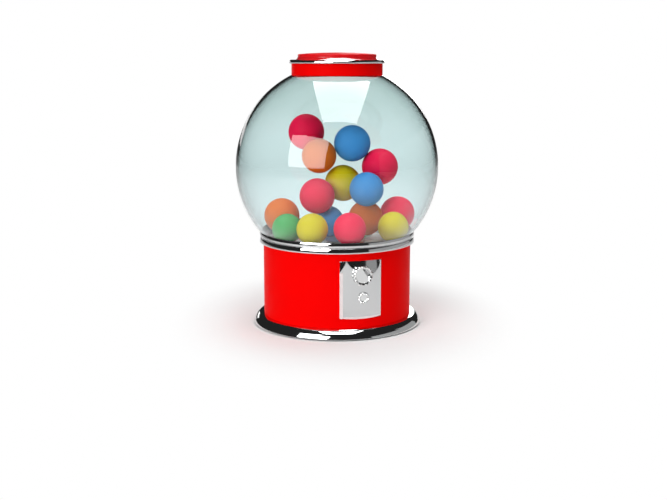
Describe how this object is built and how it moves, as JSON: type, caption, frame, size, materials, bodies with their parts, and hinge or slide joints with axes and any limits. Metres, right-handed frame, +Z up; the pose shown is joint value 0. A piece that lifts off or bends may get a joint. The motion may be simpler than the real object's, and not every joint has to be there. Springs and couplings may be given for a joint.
{
  "type": "gumball machine",
  "caption": "Desktop gumball machine: glass globe on a painted round body, with a turn knob on a hinged outlet plate, a geared dispensing wheel and a lift-off lid.",
  "frame": {"origin": "centre of the foot at the level of the table, on the machine's vertical axis", "axes": "+Z up; the front plate with the knob faces -Y; +X is to the right of someone who faces the plate"},
  "size_m": [0.1396, 0.1396, 0.187],
  "materials": {
    "body_red": "glossy red enamel",
    "foot_chrome": "bright chrome plate",
    "ring_chrome": "bright chrome plate",
    "plate_chrome": "bright chrome plate",
    "plain_steel": "zinc-plated steel",
    "gear_brass": "machined brass",
    "foot_rubber": "matt black rubber",
    "white_plastic": "moulded plastic",
    "grey_plastic": "moulded plastic",
    "globe_glass": "clear blown glass with a faint teal tint",
    "candy_red": "satin sugar shell",
    "candy_blue": "satin sugar shell",
    "candy_orange": "satin sugar shell",
    "candy_yellow": "satin sugar shell",
    "candy_green": "satin sugar shell"
  },
  "bodies": {
    "machine": {"base_ring": "foot_chrome", "foot_ring": "foot_rubber", "base_plate": "plain_steel", "base_screws": "plain_steel", "frame_screws": "plain_steel", "body_shell": "body_red", "body_top_ring": "ring_chrome", "globe_seat_ring": "ring_chrome", "globe_gasket": "foot_rubber", "globe": "globe_glass", "neck_collar": "body_red", "hopper": "white_plastic", "ball_guard": "plain_steel", "mechanism_frame": "grey_plastic", "chute": "white_plastic", "outlet_frame": "white_plastic", "hinge_pin": "plain_steel", "wheel_axle": "plain_steel", "axle_nut": "plain_steel", "gumballs_red": "candy_red", "gumballs_blue": "candy_blue", "gumballs_orange": "candy_orange", "gumballs_yellow": "candy_yellow", "gumball_green": "candy_green"},
    "wheel": {"dispensing_wheel": "white_plastic", "crown_gear": "grey_plastic", "stirrer": "white_plastic", "pocket_gumball_red": "candy_red", "pocket_gumball_green": "candy_green"},
    "drive": {"drive_shaft": "plain_steel", "pinion": "gear_brass"},
    "door": {"front_plate": "plate_chrome", "knob_bush": "gear_brass", "door_pull": "plate_chrome"},
    "turn_knob": {"knob": "plate_chrome", "knob_spindle": "plain_steel", "knob_clip": "plain_steel"},
    "lid": {"lid_cap": "body_red", "lid_brim": "ring_chrome", "lid_plug": "white_plastic", "lid_gasket": "foot_rubber"}
  },
  "joints": [
    {"name": "wheel_turn", "type": "hinge", "parent": "machine", "child": "wheel", "pos_m": [0, 0, 0.045], "axis": [0, 0, 1], "continuous": true},
    {"name": "drive_turn", "type": "hinge", "parent": "machine", "child": "drive", "pos_m": [0, -0.04, 0.04255], "axis": [0, -1, 0], "continuous": true},
    {"name": "door_swing", "type": "hinge", "parent": "machine", "child": "door", "pos_m": [-0.01327, -0.04893, 0.0326], "axis": [0, 0, -1], "range_deg": [0, 95]},
    {"name": "knob_turn", "type": "hinge", "parent": "door", "child": "turn_knob", "pos_m": [0, -0.052, 0.04255], "axis": [0, -1, 0], "continuous": true},
    {"name": "lid_lift", "type": "slide", "parent": "machine", "child": "lid", "axis": [0, 0, 1], "range_m": [0, 0.06]}
  ],
  "couplings": [
    {"joint": "drive_turn", "follows": "wheel_turn", "ratio": -6},
    {"joint": "knob_turn", "follows": "wheel_turn", "ratio": -6}
  ]
}
